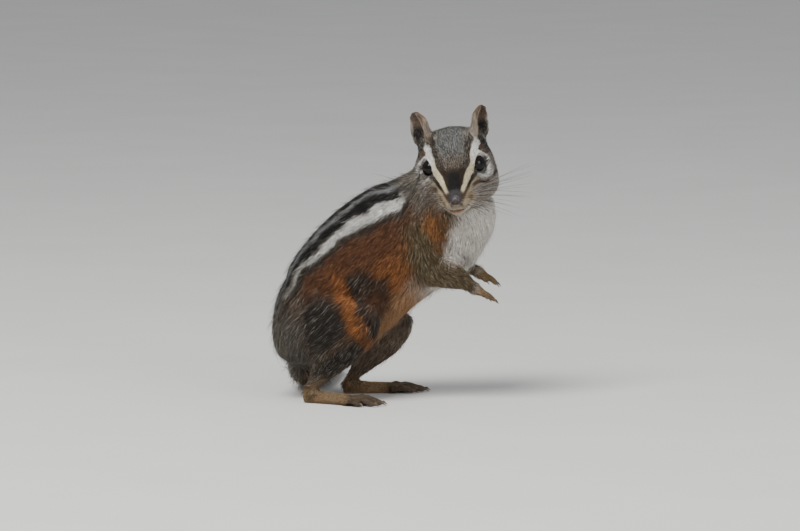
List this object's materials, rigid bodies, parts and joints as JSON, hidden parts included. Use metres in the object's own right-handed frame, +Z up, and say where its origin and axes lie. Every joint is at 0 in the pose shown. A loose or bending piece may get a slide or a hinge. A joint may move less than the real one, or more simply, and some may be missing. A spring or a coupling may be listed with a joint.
{
  "type": "chipmunk",
  "caption": "Life-size chipmunk model sitting up on its hind feet, head turned to look out sideways, with striped fur coat, whiskers and a tail laid out behind.",
  "frame": {"origin": "on the floor, under the middle of the whole animal's box", "axes": "+Z up; the trunk rises towards +X, the animal's right side and its face look towards -Y, and the tail lies along +Y"},
  "size_m": [0.083, 0.1356, 0.1071],
  "materials": {
    "coat": "short dense fur, grizzled grey, striped dark and white on the back, orange on the flank",
    "ear_fur": "very short fur on a thin ear, dark with a pale rim",
    "paw_fur": "very short tan fur on the feet",
    "tail_fur": "longer brown fur with dark and buff bands",
    "eye": "wet gloss, nearly black",
    "nose_leather": "bare dark skin",
    "claw": "dark horn, smooth"
  },
  "bodies": {
    "root": {"chest": "coat", "ear_left": "ear_fur", "ear_right": "ear_fur", "eye_left": "eye", "eye_right": "eye", "fore_claw_left_1": "claw", "fore_claw_left_2": "claw", "fore_claw_left_3": "claw", "fore_claw_left_4": "claw", "fore_claw_right_1": "claw", "fore_claw_right_2": "claw", "fore_claw_right_3": "claw", "fore_claw_right_4": "claw", "forearm_left": "coat", "forearm_right": "coat", "hand_left": "paw_fur", "hand_right": "paw_fur", "head": "coat", "hind_claw_left_1": "claw", "hind_claw_left_2": "claw", "hind_claw_left_3": "claw", "hind_claw_left_4": "claw", "hind_claw_left_5": "claw", "hind_claw_right_1": "claw", "hind_claw_right_2": "claw", "hind_claw_right_3": "claw", "hind_claw_right_4": "claw", "hind_claw_right_5": "claw", "hind_foot_left": "paw_fur", "hind_foot_right": "paw_fur", "loin": "coat", "neck": "coat", "nose": "nose_leather", "rump": "coat", "shank_left": "coat", "shank_right": "coat", "tail_1": "tail_fur", "tail_2": "tail_fur", "tail_3": "tail_fur", "tail_4": "tail_fur", "thigh_left": "coat", "thigh_right": "coat", "upper_arm_left": "coat", "upper_arm_right": "coat"}
  },
  "joints": []
}
